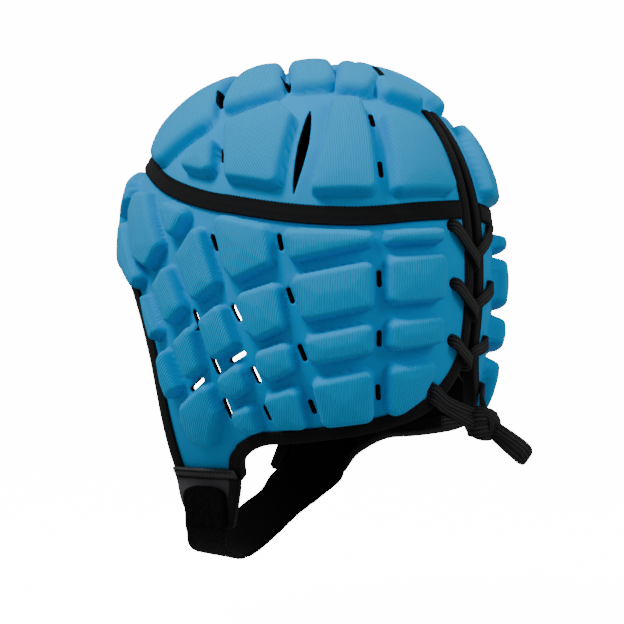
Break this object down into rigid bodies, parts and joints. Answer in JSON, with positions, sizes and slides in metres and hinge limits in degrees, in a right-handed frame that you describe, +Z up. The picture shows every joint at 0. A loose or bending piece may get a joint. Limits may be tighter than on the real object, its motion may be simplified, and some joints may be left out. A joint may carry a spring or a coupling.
{
  "type": "rugby scrum cap",
  "caption": "Padded foam head guard for rugby with raised blocks, slotted vents, bound edges, a laced back slot and a chin strap.",
  "frame": {"origin": "the inside of the crown, at the point that rests on top of the head", "axes": "+Z up, the front of the head towards -Y, the wearer's left towards +X"},
  "size_m": [0.1878, 0.264, 0.2883],
  "materials": {
    "blue_foam": "matte knit cloth over closed-cell foam",
    "black_tape": "matte twill tape",
    "tab_cloth": "matte brushed cloth",
    "strap_webbing": "fuzzy loop-pile tape",
    "lace_cord": "braided flat lace"
  },
  "bodies": {
    "root": {"crown_panel": "blue_foam", "wrap_panel": "blue_foam", "seam_tape": "black_tape", "face_binding": "black_tape", "back_binding_left": "black_tape", "back_binding_right": "black_tape", "chin_tab": "tab_cloth", "tab_binding": "black_tape", "chin_strap": "strap_webbing", "lace": "lace_cord", "lace_knot": "lace_cord", "lace_loop": "lace_cord", "lace_end": "lace_cord"}
  },
  "joints": []
}
